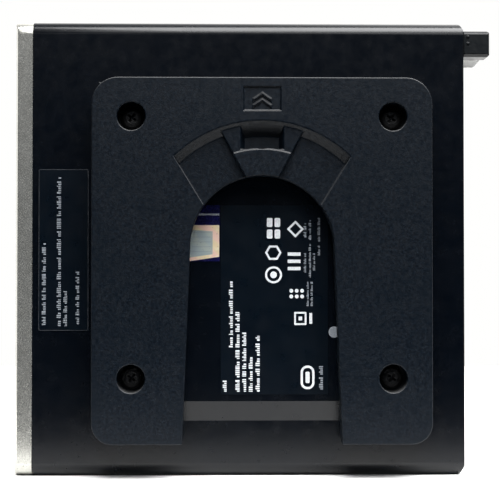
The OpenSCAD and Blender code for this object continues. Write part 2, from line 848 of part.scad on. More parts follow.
module power_inlet() {
    yc = board_top + 5.5;
    color("#1c1c1d") difference() {
        block([board_x1 - 13, board_top, inlet_z - inlet_w / 2],
            [case_d + 1, board_top + inlet_w - 0.5, inlet_z + inlet_w / 2]);
        rod_x(2.4, board_x1 - 9, case_d + 2, yc, inlet_z);
        difference() {
            rod_x(4.3, case_d + 0.5, case_d + 2, yc, inlet_z);
            rod_x(3.4, case_d, case_d + 2, yc, inlet_z);
        }
    }
    color("#c4c4c0") rod_x(0.4, board_x1 - 9.5, case_d - 1, yc, inlet_z);
}

module inlet_light() {
    color("#dfe6ea") rod_x(light_r, board_x1 - 6, case_d + 1, light_y, light_z);
    color("#dfe6ea") block([board_x1 - 8, board_top, light_z - light_r],
        [board_x1 - 5.5, light_y + light_r, light_z + light_r]);
}

module option_cover() {
    color("#24262a") difference() {
        block([case_d, option_foot, option_z - option_size.x / 2],
            [case_d + 0.6, option_foot + option_size.y, option_z + option_size.x / 2]);
        for (side = [-1, 1])
            rod_x(1.2, case_d - 1, case_d + 1, option_foot + option_size.y / 2,
                option_z + side * (option_size.x / 2 - 2));
    }
}

module option_screw() {
    color("#b9babb") difference() {
        union() {
            translate([case_d, screw_y, screw_z]) rotate([0, 90, 0]) rotate_extrude()
                polygon([[0, 0], [3.15, 0], [3.15, 0.5], [2.5, 1.3], [1.2, 1.6], [0, 1.6]]);
            rod_x(1.5, rear_in - 4, case_d + 0.5, screw_y, screw_z);
        }
        for (turn = [0, 90]) translate([0, screw_y, screw_z]) rotate([turn, 0, 0])
            block([case_d + 0.6, -1.6, -0.35], [case_d + 3, 1.6, 0.35]);
    }
}

plug_r = 3.2;
plug_y = 12;
plug_z = mid(inlet_z + inlet_w / 2, option_z - option_size.x / 2);

module antenna_plug() {
    color("#0f1012") {
        rod_x(plug_r - 0.05, rear_in - 0.5, case_d + 0.5, plug_y, plug_z);
        rod_x(plug_r + 0.8, case_d, case_d + 0.7, plug_y, plug_z);
        rod_x(plug_r + 0.5, rear_in - 1, rear_in, plug_y, plug_z);
    }
}

// ---- cooler ----

socket_x = cooler_x0 + 20;
socket_z = impeller_z - 19;

module processor_socket() {
    color("#3b3c3e") difference() {
        block([socket_x, board_top, socket_z], [socket_x + 38, board_top + 2.2, socket_z + 38]);
        block([socket_x + 3, board_top + 1, socket_z + 3], [socket_x + 35, board_top + 4, socket_z + 35]);
    }
}

module processor() {
    color("#c2c4c6") {
        block([socket_x + 3.2, board_top + 1, socket_z + 3.2],
            [socket_x + 34.8, board_top + 2, socket_z + 34.8]);
        block([socket_x + 5.5, board_top + 2, socket_z + 5.5],
            [socket_x + 32.5, sink_base_y, socket_z + 32.5]);
    }
}

sink_screws = [[cooler_x0 + 8, cooler_z0 - 3.4], [cooler_x0 + 8, cooler_z1 + 3.4],
    [housing_x1 - 14, cooler_z0 - 3.4], [housing_x1 - 14, cooler_z1 + 3.4]];

fin_t = 0.5;

module heat_sink() {
    fins = floor((cooler_z1 - cooler_z0 - 1) / fin_pitch);
    step = board_top + video_size.y + 1;
    color("#b4b7ba") difference() {
        union() {
            block([cooler_x0, sink_base_y, cooler_z0], [ports_x0 - 1, housing_y, cooler_z1]);
            for (s = sink_screws) rod_y(4, sink_base_y, housing_y, s.x, s.y);
            for (s = sink_screws)
                block([s.x - 4, sink_base_y, min(s.y, impeller_z)],
                    [s.x + 4, housing_y, max(s.y, impeller_z)]);
            for (i = [0 : fins]) translate([0, 0, cooler_z0 + i * fin_pitch]) across_z(0, fin_t) polygon([
                [fins_x0, housing_y - 0.5], [ports_x0 - 1, housing_y - 0.5], [ports_x0 - 1, step],
                [fins_x1, step], [fins_x1, cooler_top], [fins_x0, cooler_top]]);
            block([ports_x0 - 1.5, step, cooler_z0], [fins_x1, step + 0.8, cooler_z1]);
        }
        for (s = sink_screws) rod_y(1.7, sink_base_y - 1, housing_y + 1, s.x, s.y);
    }
}

module heat_sink_screws() {
    color("#9a9c9f") for (s = sink_screws) {
        rod_y(1.5, board_top, housing_y + 0.5, s.x, s.y);
        rod_y(3, housing_y, housing_y + 4.5, s.x, s.y);
    }
}

// Outline of the blower in X and Z: a ring with a straight duct to the fins
module housing_outline(inset) {
    ring = impeller_r + 1.2 + housing_wall - inset;
    foot = impeller_z - ring;
    circle_at(impeller_x, impeller_z, ring);
    translate([impeller_x, foot]) square([housing_x1 - impeller_x + (inset > 0 ? 1 : 0), 1.6 * ring]);
}

module circle_at(x, z, r) {
    translate([x, z]) circle(r);
}

module fan_housing() {
    color("#1a1b1d") {
        difference() {
            across_y(housing_y, cooler_top - 1) housing_outline(0);
            across_y(housing_y + housing_wall, cooler_top) housing_outline(housing_wall);
        }
        rod_y(1.2, housing_y + housing_wall - 0.2, cooler_top - 4, impeller_x, impeller_z);
        rod_y(6, housing_y + housing_wall - 0.2, housing_y + housing_wall + 0.6, impeller_x, impeller_z);
    }
}

module fan_cover() {
    color("#26282b") across_y(cooler_top - 1, cooler_top) difference() {
        housing_outline(0);
        circle_at(impeller_x, impeller_z, impeller_r - 7);
    }
}

module fan_impeller() {
    y0 = housing_y + housing_wall + 1;
    y1 = cooler_top - 2;
    hub_r = 10;
    color("#2e3033") translate([impeller_x, 0, impeller_z]) difference() {
        union() {
            rod_y(hub_r, y0, y1, 0, 0);
            rod_y(impeller_r - 0.6, y0, y0 + 0.8, 0, 0);
            for (i = [0 : blade_count - 1]) rotate([0, i * 360 / blade_count, 0])
                translate([hub_r - 1, 0, 0]) rotate([0, 18, 0])
                    block([0, y0 + 0.4, -0.35], [impeller_r - hub_r - 0.6, y1, 0.35]);
        }
        rod_y(1.25, y0 - 1, cooler_top - 3.5, 0, 0);
    }
}

// ---- fan lead: a thin tube swept along a gentle bend ----

lead_r = 1.2;
lead_sides = 8;
lead_start = [cooler_x0 - 3, board_top + 3.6, impeller_z - 17];
lead_reach = 3 + housing_gap;
lead_bends = [[0, 0, 0], [0, 0, 2], [0, 1, 5], [0, 3.5, 9], [0.3, 6.5, 13], [1.5, 8.6, 16], [3, 9.2, 17],
    [lead_reach, 9.2, 17]];

function ring_points(p, along) = let(
    side = cross(along, [1, 0, 0]),
    u = norm(side) > 0.1 ? side / norm(side) : [0, 1, 0],
    v = cross(along, u) / norm(along))
    [for (k = [0 : lead_sides - 1]) let(turn = k * 360 / lead_sides)
        p + lead_r * (cos(turn) * u + sin(turn) * v)];

function lead_dir(i) = lead_bends[min(i + 1, len(lead_bends) - 1)] - lead_bends[max(i - 1, 0)];

module fan_lead() {
    rings = len(lead_bends);
    points = [for (i = [0 : rings - 1]) each ring_points(lead_start + lead_bends[i], lead_dir(i))];
    sides = [for (i = [0 : rings - 2], k = [0 : lead_sides - 1])
        let(n = (k + 1) % lead_sides, a = i * lead_sides, b = a + lead_sides)
        each [[a + k, b + n, a + n], [a + k, b + k, b + n]]];
    caps = [
        [for (k = [0 : lead_sides - 1]) k],
        [for (k = [lead_sides - 1 : -1 : 0]) (rings - 1) * lead_sides + k]];
    color("#1d1d1f") polyhedron(points = points, faces = concat(sides, caps));
    color("#e6e2d6") block(lead_start + [-2, -3.6, -4], lead_start + [2, 1.4, 0.4]);
}

// ---- memory, drives, radio ----

memory_x = board_x0 + 9;
memory_l = 69.6;
memory_z0 = board_z0 + 38;
memory_y = [board_top + 2.4, board_top + 6.8];

module memory_sockets() {
    color("#2b2c2e") for (y = memory_y) difference() {
        foot = y == memory_y[0] ? board_top : memory_y[0] + 2;
        union() {
            block([memory_x - 1.5, foot, memory_z0 + 28],
                [memory_x + memory_l + 1.5, y + 2, memory_z0 + 33]);
            for (x = [memory_x - 1.5, memory_x + memory_l + 0.3])
                block([x, foot, memory_z0 + 2], [x + 1.2, y + 2, memory_z0 + 29]);
        }
        block([memory_x - 0.1, y - 0.7, memory_z0 - 1],
            [memory_x + memory_l + 0.1, y + 0.7, memory_z0 + 30.1]);
    }
}

module memory_module(y) {
    color("#14532d") block([memory_x, y - 0.6, memory_z0], [memory_x + memory_l, y + 0.6, memory_z0 + 30]);
    color("#18181a") for (i = [0 : 3])
        block([memory_x + 4 + i * 16, y + 0.5, memory_z0 + 7],
            [memory_x + 16 + i * 16, y + 1.5, memory_z0 + 20]);
}

ssd_z = board_z0 + 9;
ssd_x1 = board_x1 - 32;

module solid_state_drive() {
    y = board_top + 2.4;
    color("#14532d") difference() {
        block([ssd_x1 - 80, y, ssd_z], [ssd_x1, y + 0.8, ssd_z + 22]);
        rod_y(1.9, y - 1, y + 2, ssd_x1 - 80, ssd_z + 11);
    }
    color("#18181a") for (x = [ssd_x1 - 70, ssd_x1 - 50, ssd_x1 - 24])
        block([x, y + 0.7, ssd_z + 3], [x + 14, y + 2, ssd_z + 19]);
}

module drive_socket() {
    y = board_top + 2.4;
    color("#2b2c2e") difference() {
        block([ssd_x1 - 4, board_top, ssd_z - 0.5], [ssd_x1 + 4.5, y + 1.8, ssd_z + 22.5]);
        block([ssd_x1 - 5, y - 0.1, ssd_z - 0.1], [ssd_x1 + 0.1, y + 0.9, ssd_z + 22.1]);
    }
    color("#c9a84a") rod_y(1.7, board_top, y + 1.4, ssd_x1 - 80.1, ssd_z + 11);
}

module wireless_module() {
    x0 = memory_x;
    y = board_top + 2.4;
    color("#14532d") block([x0, y, ssd_z], [x0 + 30, y + 0.8, ssd_z + 22]);
    color("#b4b7ba") block([x0 + 8, y + 0.7, ssd_z + 2], [x0 + 27, y + 2.2, ssd_z + 20]);
    color("#2b2c2e") block([x0 - 3.4, board_top, ssd_z - 0.5], [x0 + 0.1, y + 1.8, ssd_z + 22.5]);
}

module drive_cage() {
    x0 = drive_x - 1.4;
    x1 = drive_x + drive_size.x + 1.4;
    z0 = drive_z - 1.4;
    z1 = drive_z + drive_size.z + 1.4;
    color("#a3a6a9") difference() {
        union() {
            block([x0, cage_y, z0], [x1, cage_y + sheet, z1]);
            for (z = [z0, z1 - sheet]) block([x0, cage_y, z], [x1, cage_y + 8.6, z + sheet]);
            for (x = [x0, x1 - sheet]) block([x, cage_y, z0], [x + sheet, cage_y + 8.6, z1]);
            for (x = [x0, x1 - 8]) block([x, board_top, z0], [x + 8, cage_y + 1, z0 + sheet]);
            for (x = [x0, x1 - 8]) block([x, board_top, z1 - sheet], [x + 8, cage_y + 1, z1]);
        }
        for (i = [0 : 3])
            block([x0 + 14 + i * 22, cage_y - 1, z0 + 14], [x0 + 26 + i * 22, cage_y + 2, z1 - 14]);
    }
}

module disk_drive() {
    y0 = cage_y + sheet + 0.2;
    color("#c3c5c7") difference() {
        block([drive_x, y0, drive_z], [drive_x + drive_size.x, y0 + drive_size.y, drive_z + drive_size.z]);
        block([drive_x - 1, y0 - 1, drive_z + 10], [drive_x + 5, y0 + 3.5, drive_z + 46]);
    }
}

cell_x = board_x1 - 44;
cell_z = memory_z0 + 17;

module coin_cell_holder() {
    color("#2b2c2e") difference() {
        rod_y(11.6, board_top, board_top + 4, cell_x, cell_z);
        rod_y(10.2, board_top + 0.8, board_top + 5, cell_x, cell_z);
    }
}

module coin_cell() {
    color("#c8c9ca") rod_y(10, board_top + 0.9, board_top + 4.1, cell_x, cell_z);
}

module speaker() {
    x0 = board_x0 + 14;
    z0 = case_w - 58;
    color("#17181a") {
        block([x0, board_top, z0], [x0 + 20, board_top + 10, z0 + 34]);
        rod_y(7, board_top + 9, board_top + 11, x0 + 10, z0 + 12);
    }
}

coil_pitch = 7.4;

module inductors() {
    color("#4a4c50") for (i = [0 : 5]) translate([cooler_x0 - 13, board_top, socket_z - 1 + i * coil_pitch])
        cube([6.4, 4, 6.4]);
}

can_r = 2.6;
can_h = 6.5;

module capacitors() {
    color("#b9bbbd") for (i = [0 : 4])
        rod_y(can_r, board_top, board_top + can_h, cooler_x0 - 18, socket_z + 3 + i * coil_pitch);
    color("#b9bbbd") for (i = [0 : 3])
        rod_y(can_r, board_top, board_top + can_h, board_x1 - 29 + i * 6.2, option_z - 14);
}

module board_chips() {
    drive_x1 = drive_x + drive_size.x;
    color("#1a1b1d") {
        block([drive_x1 - 34, board_top, drive_z + 50], [drive_x1 - 18, board_top + 1.2, drive_z + 66]);
        block([drive_x1 + 5, board_top, drive_z + 66], [drive_x1 + 14, board_top + 1, drive_z + 73]);
        block([board_x0 + 4, board_top, board_z1 - 34], [board_x0 + 12, board_top + 1, board_z1 - 26]);
        block([board_x0 + 30, board_top, board_z1 - 16], [board_x0 + 42, board_top + 1.2, board_z1 - 4]);
    }
}

// ---- assembly ----

module place() {
    translate(origin) children();
}

place() base_pan();
place() rear_panel();
place() front_frame();
place() access_panel();
place() padlock_loop();
place() front_bezel();
place() front_insert();
place() power_button();
place() power_light();
place() drive_light();
place() power_switch();
place() mounting_plate();
place() mounting_screws();
place() mounting_nuts();
place() asset_label();
place() rating_label();
place() seal_sticker();
place() thumbscrew();
place() thumbscrew_retainer();
place() thumbscrew_nut();
place() system_board();
place() board_posts();
place() board_screws();
place() front_usb(front_usb_z[0]);  // front_usb_upper
place() front_usb(front_usb_z[1]);  // front_usb_lower
place() front_usb_c();
place() color("#1c1c1d") audio_jack(audio_z[0]);  // headset_jack
place() color("#1c1c1d") audio_jack(audio_z[1]);  // headphone_jack
place() video_port(video_z[0]);  // video_port_upper
place() video_port(video_z[1]);  // video_port_lower
place() option_cover();
place() option_screw();
place() power_inlet();
place() inlet_light();
place() usb_stack(usb_stack_z[0]);  // usb_stack_upper
place() usb_stack(usb_stack_z[1]);  // usb_stack_lower
place() network_jack();
place() antenna_plug();
place() processor_socket();
place() processor();
place() heat_sink();
place() heat_sink_screws();
place() fan_housing();
place() fan_cover();
place() fan_impeller();
place() fan_lead();
place() memory_sockets();
place() memory_module(memory_y[1]);  // memory_upper
place() memory_module(memory_y[0]);  // memory_lower
place() solid_state_drive();
place() drive_socket();
place() wireless_module();
place() drive_cage();
place() disk_drive();
place() coin_cell_holder();
place() coin_cell();
place() speaker();
place() inductors();
place() capacitors();
place() board_chips();
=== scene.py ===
"""Looks for a slim mini desktop computer that stands on its side, seen from its underside.

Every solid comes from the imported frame. This script gives each one a procedural finish, softens
its edges with bevel modifiers, and adds the printed marks, foils and board details.
"""

import math
import random

import bmesh
import bpy
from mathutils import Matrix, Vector


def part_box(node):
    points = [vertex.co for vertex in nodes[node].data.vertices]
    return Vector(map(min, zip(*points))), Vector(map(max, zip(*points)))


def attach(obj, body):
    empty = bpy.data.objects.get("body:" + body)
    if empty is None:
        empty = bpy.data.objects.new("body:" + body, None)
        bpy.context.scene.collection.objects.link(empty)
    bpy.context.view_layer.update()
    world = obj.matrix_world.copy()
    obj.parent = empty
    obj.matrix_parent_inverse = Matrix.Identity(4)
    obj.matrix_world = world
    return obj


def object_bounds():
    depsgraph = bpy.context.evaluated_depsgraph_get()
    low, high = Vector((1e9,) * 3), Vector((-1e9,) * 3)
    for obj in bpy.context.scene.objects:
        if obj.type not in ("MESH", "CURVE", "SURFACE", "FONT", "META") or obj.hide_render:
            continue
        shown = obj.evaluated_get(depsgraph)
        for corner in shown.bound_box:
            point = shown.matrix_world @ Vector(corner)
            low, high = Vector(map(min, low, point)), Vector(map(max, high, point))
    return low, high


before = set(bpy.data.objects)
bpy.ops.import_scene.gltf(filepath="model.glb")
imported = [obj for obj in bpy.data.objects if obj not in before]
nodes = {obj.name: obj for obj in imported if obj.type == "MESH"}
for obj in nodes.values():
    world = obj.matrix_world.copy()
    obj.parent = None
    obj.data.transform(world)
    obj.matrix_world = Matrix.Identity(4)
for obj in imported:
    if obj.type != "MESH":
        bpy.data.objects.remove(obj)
cad_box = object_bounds()
scene = bpy.context.scene

MM = 0.001
rng = random.Random(7)

# Edge rounding, in mm. Wider than half of the flap's 0.9 mm step, the plate's would leave streaks.
EDGE_MM = {
    "mounting_plate": 0.44, "base_pan": 0.15, "access_panel": 0.15, "front_bezel": 0.3,
    "thumbscrew": 0.3, "mounting_screws": 0.15, "padlock_loop": 0.15,
}
EDGE_SEGMENTS = 3
EDGE_ANGLE = 30                  # degrees between two faces that count as an edge
WELD_MM = 0.001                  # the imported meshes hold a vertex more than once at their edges
FLAT_ANGLE = 0.5                 # faces within this many degrees of each other become one

# Second materials inside a node: where each begins, in mm from the node's low corner
PORTS = (
    "front_usb_upper", "front_usb_lower", "front_usb_c", "video_port_upper", "video_port_lower",
    "usb_stack_upper", "usb_stack_lower", "network_jack",
)
PORT_RIM_MM = 0.75               # metal left round a port's dark inside
CHIPS_FROM_MM = {"memory_upper": 1.25, "memory_lower": 1.25, "solid_state_drive": 0.85}
SHIELD_FROM_MM = (4, 3.25)       # the wireless module's shield, along X and Y
RADIO_SOCKET_MM = 3.5            # the wireless module's socket ends here, along X
LEAD_PLUG_MM = 4.45              # the fan lead's plug ends here, along Z
PIN_BAND_MM = (1.4, 2.3)         # the network jack's pins, along Y
PIN_END_MM = 1                   # what stays plain at the jack's mouth
PIN_SIDE_MM = 2.5                # and on each side of the pins

# Printed labels
INK_T = 0.02 * MM
INK_SUNK = 0.001 * MM            # how far the ink's back lies inside the label
MARK_GAP = 0.18                  # between letters, as a share of the line's height
WORD_GAP = 0.5
WORD_LETTERS = (3, 8)
LETTER_WIDTHS = (0.20, 0.42)
LETTER_HEIGHTS = (0.62, 0.66, 1.0, 1.0)
LINE_END_MM = 0.4                # no letter starts closer than this to the line's end

# Stage
FLOOR_R = 0.45
FLOOR_FRONT = 0.10               # how far the floor reaches in front of the object
FLOOR_SIDES = 96
WORLD_FRONT = (0.012, 0.021, 0.034)
WORLD_BACK = (1.7, 1.69, 1.66)
WORLD_SEEN = (1.0, 1.0, 0.99)    # what the camera sees behind the object
WORLD_TURN = (-0.15, 0.6)        # Y of a view direction where front ends and back begins
SENSOR_MM = 36
FRAME_PX = 500
SCALE_PX_PER_MM = 2.628
CAMERA_DISTANCE = 0.56
CAMERA_AZIMUTH = -1.2
CAMERA_ELEVATION = -1.3
AIM_FROM_BEZEL = 91.0 * MM
AIM_HEIGHT = 87.47 * MM


# ---- node helpers ----

class Surface:
    """A Principled material whose colour, roughness and bump are built up from noise."""

    NOISE_ROUGHNESS = 0.55
    NOISE_RANGE = (0.3, 0.7)     # where most of a noise's values lie
    SPECK_COVER = 0.8
    FACING_UP = (0.15, 0.8)      # Z of a normal where the painted highlight begins and is full

    def __init__(self, name, color, roughness, metallic=0.0, specular=0.5):
        self.material = bpy.data.materials.new(name)
        self.material.use_nodes = True
        self.tree = self.material.node_tree
        self.shader = self.tree.nodes["Principled BSDF"]
        self.shader.inputs["Metallic"].default_value = metallic
        self.shader.inputs["Specular IOR Level"].default_value = specular
        self.shader.inputs["Base Color"].default_value = (*color, 1)
        self.shader.inputs["Roughness"].default_value = roughness
        self.place = self.node("ShaderNodeTexCoord").outputs["Object"]
        self.base_color = (*color, 1)
        self.base_rough = roughness
        self.color = None
        self.rough = None
        self.normal = None

    def node(self, kind, **settings):
        made = self.tree.nodes.new(kind)
        for key, value in settings.items():
            setattr(made, key, value)
        return made

    def link(self, source, target):
        self.tree.links.new(source, target)

    def stretched(self, stretch):
        """Object coordinates scaled per axis, for brushed or moulded direction."""
        if stretch == (1, 1, 1):
            return self.place
        mapping = self.node("ShaderNodeMapping")
        mapping.inputs["Scale"].default_value = stretch
        self.link(self.place, mapping.inputs["Vector"])
        return mapping.outputs["Vector"]

    def noise(self, size_mm, detail=3.0, stretch=(1, 1, 1)):
        made = self.node("ShaderNodeTexNoise")
        made.inputs["Scale"].default_value = 1 / (size_mm * MM)
        made.inputs["Detail"].default_value = detail
        made.inputs["Roughness"].default_value = self.NOISE_ROUGHNESS
        self.link(self.stretched(stretch), made.inputs["Vector"])
        return made.outputs["Fac"]

    def cells(self, size_mm):
        made = self.node("ShaderNodeTexVoronoi")
        made.inputs["Scale"].default_value = 1 / (size_mm * MM)
        self.link(self.place, made.inputs["Vector"])
        return made.outputs["Distance"]

    def remap(self, source, low, high, out_low, out_high):
        made = self.node("ShaderNodeMapRange")
        made.inputs["From Min"].default_value = low
        made.inputs["From Max"].default_value = high
        made.inputs["To Min"].default_value = out_low
        made.inputs["To Max"].default_value = out_high
        self.link(source, made.inputs["Value"])
        return made.outputs["Result"]

    def tint(self, mask, color):
        """Mixes a colour in where the mask is high."""
        mix = self.node("ShaderNodeMix", data_type="RGBA")
        self.link(mask, mix.inputs["Factor"])
        if self.color is None:
            mix.inputs["A"].default_value = self.base_color
        else:
            self.link(self.color, mix.inputs["A"])
        mix.inputs["B"].default_value = (*color, 1)
        self.color = mix.outputs["Result"]
        return self

    def mottle(self, size_mm, color, low=0.4, high=0.65):
        """Patches of a second colour, where the noise lies above low."""
        return self.tint(self.remap(self.noise(size_mm), low, high, 0, 1), color)

    def polish(self, size_mm, spread, stretch=(1, 1, 1)):
        """Lets the roughness wander by the spread."""
        wander = self.noise(size_mm, stretch=stretch)
        low, high = self.base_rough - spread, self.base_rough + spread
        self.rough = self.remap(wander, *self.NOISE_RANGE, low, high)
        return self

    def bump(self, height, depth_mm, strength=1.0):
        made = self.node("ShaderNodeBump")
        made.inputs["Distance"].default_value = depth_mm * MM
        made.inputs["Strength"].default_value = strength
        self.link(height, made.inputs["Height"])
        if self.normal is not None:
            self.link(self.normal, made.inputs["Normal"])
        self.normal = made.outputs["Normal"]
        return self

    def grain(self, size_mm, depth_mm, strength=1.0, stretch=(1, 1, 1)):
        return self.bump(self.noise(size_mm, stretch=stretch), depth_mm, strength)

    def dust(self, size_mm, color, amount):
        """Sparse specks."""
        specks = self.remap(self.cells(size_mm), amount, amount * 0.6, 0, self.SPECK_COVER)
        return self.tint(specks, color)

    def painted_top_highlight(self, color):
        """Painted highlight: lightens what faces up, where the top light falls on faces and edges.
        """
        split = self.node("ShaderNodeSeparateXYZ")
        self.link(self.node("ShaderNodeNewGeometry").outputs["Normal"], split.inputs[0])
        return self.tint(self.remap(split.outputs["Z"], *self.FACING_UP, 0, 1), color)

    def done(self):
        ends = ((self.color, "Base Color"), (self.rough, "Roughness"), (self.normal, "Normal"))
        for source, slot in ends:
            if source is not None:
                self.link(source, self.shader.inputs[slot])
        return self.material


# ---- materials ----

def powder_black():
    s = Surface("powder_black", (0.0003, 0.0010, 0.0024), 0.25, specular=0.30)
    s.mottle(9, (0.0006, 0.0014, 0.0030)).dust(2.6, (0.005, 0.006, 0.008), 0.05)
    return s.polish(4, 0.03).grain(0.35, 0.004, 0.4).grain(2.5, 0.006, 0.2).done()


def moulded_charcoal():
    s = Surface("moulded_charcoal", (0.0002, 0.0016, 0.0040), 0.42, specular=0.20)
    s.mottle(1.0, (0.0034, 0.0064, 0.0106)).mottle(14, (0.0009, 0.0030, 0.0060), 0.45, 0.75)
    # Painted highlight on the plate's upward-facing faces and edges, where the top light falls.
    s.painted_top_highlight((0.042, 0.043, 0.044))
    return s.polish(1.4, 0.07).grain(0.5, 0.05, 0.9).grain(0.22, 0.03, 0.8).done()


def matt_black():
    s = Surface("matt_black", (0.010, 0.0105, 0.012), 0.5, specular=0.4)
    return s.mottle(1.2, (0.015, 0.0155, 0.017)).polish(3, 0.06).grain(0.3, 0.012, 0.6).done()


def dark_nylon():
    s = Surface("dark_nylon", (0.020, 0.021, 0.023), 0.46)
    return s.mottle(1.6, (0.028, 0.029, 0.031)).polish(2, 0.06).grain(0.25, 0.01, 0.6).done()


def satin_silver():
    s = Surface("satin_silver", (0.47, 0.465, 0.43), 0.23, metallic=0.8)
    s.mottle(0.35, (0.56, 0.555, 0.515), 0.45, 0.7).mottle(5, (0.44, 0.435, 0.40))
    return s.polish(0.6, 0.06).grain(0.3, 0.006, 0.6).done()


def zinc():
    s = Surface("zinc", (0.52, 0.53, 0.55), 0.32, metallic=1.0)
    return s.mottle(6, (0.44, 0.45, 0.46)).polish(0.8, 0.08).grain(0.5, 0.006, 0.5).done()


def bare_steel():
    s = Surface("bare_steel", (0.72, 0.72, 0.70), 0.36, metallic=0.6)
    s.mottle(3, (0.66, 0.66, 0.64)).polish(0.6, 0.08, stretch=(0.15, 1, 1))
    return s.grain(0.3, 0.008, 0.6, stretch=(0.1, 1, 1)).done()


def black_oxide():
    s = Surface("black_oxide", (0.016, 0.016, 0.017), 0.33, metallic=0.5)
    return s.mottle(0.9, (0.03, 0.03, 0.031)).polish(0.5, 0.08).grain(0.2, 0.006, 0.5).done()


def knob_black():
    s = Surface("knob_black", (0.0012, 0.0024, 0.0034), 0.34, specular=0.28)
    return s.mottle(1.4, (0.003, 0.0042, 0.0052)).polish(1, 0.05).grain(0.3, 0.008, 0.5).done()


def label_film():
    s = Surface("label_film", (0.0004, 0.0020, 0.0044), 0.30, specular=0.25)
    return s.mottle(20, (0.0008, 0.0027, 0.0054)).polish(6, 0.04).grain(5, 0.02, 0.15).done()


def label_ink():
    s = Surface("label_ink", (0.62, 0.64, 0.66), 0.55)
    return s.mottle(0.6, (0.5, 0.52, 0.54)).grain(0.2, 0.004, 0.4).done()


def line_ink():
    s = Surface("line_ink", (0.036, 0.038, 0.042), 0.5)
    return s.mottle(4, (0.014, 0.016, 0.02)).grain(0.2, 0.004, 0.4).done()


def faint_ink():
    s = Surface("faint_ink", (0.23, 0.25, 0.28), 0.5)
    return s.mottle(0.5, (0.16, 0.18, 0.2)).grain(0.2, 0.004, 0.4).done()


def navy_foil():
    s = Surface("navy_foil", (0.004, 0.004, 0.045), 0.25, metallic=0.3)
    return s.mottle(2, (0.003, 0.003, 0.03)).polish(1, 0.05).grain(0.4, 0.004, 0.4).done()


def rainbow_foil(name, color, warm, cool):
    """Holographic foil: soft bands of two tints over a metal base."""
    s = Surface(name, color, 0.34, metallic=0.35)
    wave = s.node("ShaderNodeTexWave", wave_type="BANDS", bands_direction="DIAGONAL")
    wave.inputs["Scale"].default_value = 60
    wave.inputs["Distortion"].default_value = 5
    s.link(s.place, wave.inputs["Vector"])
    s.tint(s.remap(wave.outputs["Fac"], 0.2, 0.8, 0, 0.7), warm)
    s.mottle(3, cool, 0.5, 0.7)
    return s.polish(0.8, 0.08).bump(wave.outputs["Fac"], 0.004, 0.4).done()


def plated():
    s = Surface("plated", (0.56, 0.56, 0.55), 0.28, metallic=1.0)
    return s.mottle(2.5, (0.45, 0.45, 0.44)).polish(0.7, 0.08).grain(0.4, 0.005, 0.5).done()


def aluminium():
    s = Surface("aluminium", (0.60, 0.61, 0.62), 0.34, metallic=1.0)
    s.mottle(4, (0.5, 0.51, 0.52)).polish(0.4, 0.08, stretch=(0.1, 1, 1))
    return s.grain(0.3, 0.008, 0.6, stretch=(0.06, 1, 1)).done()


def brass():
    s = Surface("brass", (0.55, 0.38, 0.14), 0.3, metallic=1.0)
    return s.mottle(1.5, (0.42, 0.28, 0.1)).polish(0.4, 0.08).grain(0.3, 0.005, 0.5).done()


def clear_pipe():
    s = Surface("clear_pipe", (0.72, 0.78, 0.82), 0.12)
    s.shader.inputs["Transmission Weight"].default_value = 0.8
    return s.mottle(2, (0.66, 0.73, 0.78)).polish(1, 0.04).grain(0.8, 0.004, 0.3).done()


def solder_mask():
    """Green board with fine straight traces and vias under the mask."""
    s = Surface("solder_mask", (0.006, 0.045, 0.022), 0.3)
    for direction in ("X", "Z"):
        wave = s.node("ShaderNodeTexWave", wave_type="BANDS", bands_direction=direction)
        wave.inputs["Scale"].default_value = 420
        s.link(s.place, wave.inputs["Vector"])
        lines = s.remap(wave.outputs["Fac"], 0.75, 0.85, 0, 1)
        area = s.remap(s.noise(9 if direction == "X" else 12, detail=1), 0.5, 0.52, 0, 0.75)
        both = s.node("ShaderNodeMath", operation="MULTIPLY")
        s.link(lines, both.inputs[0])
        s.link(area, both.inputs[1])
        s.tint(both.outputs[0], (0.016, 0.095, 0.045))
        s.bump(both.outputs[0], 0.02, 0.5)
    s.tint(s.remap(s.cells(2.4), 0.13, 0.1, 0, 1), (0.34, 0.27, 0.12))
    return s.polish(3, 0.05).done()


def chip_resin():
    s = Surface("chip_resin", (0.012, 0.0125, 0.013), 0.48)
    return s.mottle(1.5, (0.018, 0.0185, 0.019)).polish(1, 0.06).grain(0.15, 0.006, 0.6).done()


def ferrite():
    s = Surface("ferrite", (0.05, 0.052, 0.056), 0.6)
    return s.mottle(0.8, (0.075, 0.077, 0.08)).polish(1, 0.08).grain(0.3, 0.02, 0.7).done()


def cream_plastic():
    s = Surface("cream_plastic", (0.7, 0.66, 0.55), 0.4)
    return s.mottle(2, (0.64, 0.6, 0.5)).polish(1, 0.05).grain(0.3, 0.006, 0.5).done()


def floor_white():
    s = Surface("floor_white", (0.86, 0.86, 0.85), 0.7, specular=0.2)
    return s.mottle(120, (0.83, 0.83, 0.825)).polish(60, 0.05).grain(1.5, 0.02, 0.3).done()


POWDER = powder_black()
CHARCOAL = moulded_charcoal()
MATT = matt_black()
NYLON = dark_nylon()
SILVER = satin_silver()
ZINC = zinc()
STEEL = bare_steel()
OXIDE = black_oxide()
KNOB = knob_black()
FILM = label_film()
INK = label_ink()
FAINT = faint_ink()
LINE = line_ink()
NAVY = navy_foil()
GOLD_FOIL = rainbow_foil("gold_foil", (0.72, 0.58, 0.36), (0.78, 0.5, 0.46), (0.74, 0.68, 0.5))
GREY_FOIL = rainbow_foil("grey_foil", (0.30, 0.36, 0.37), (0.36, 0.40, 0.36), (0.27, 0.33, 0.37))
PLATED = plated()
ALUMINIUM = aluminium()
BRASS = brass()
CLEAR = clear_pipe()
BOARD = solder_mask()
RESIN = chip_resin()
FERRITE = ferrite()
CREAM = cream_plastic()

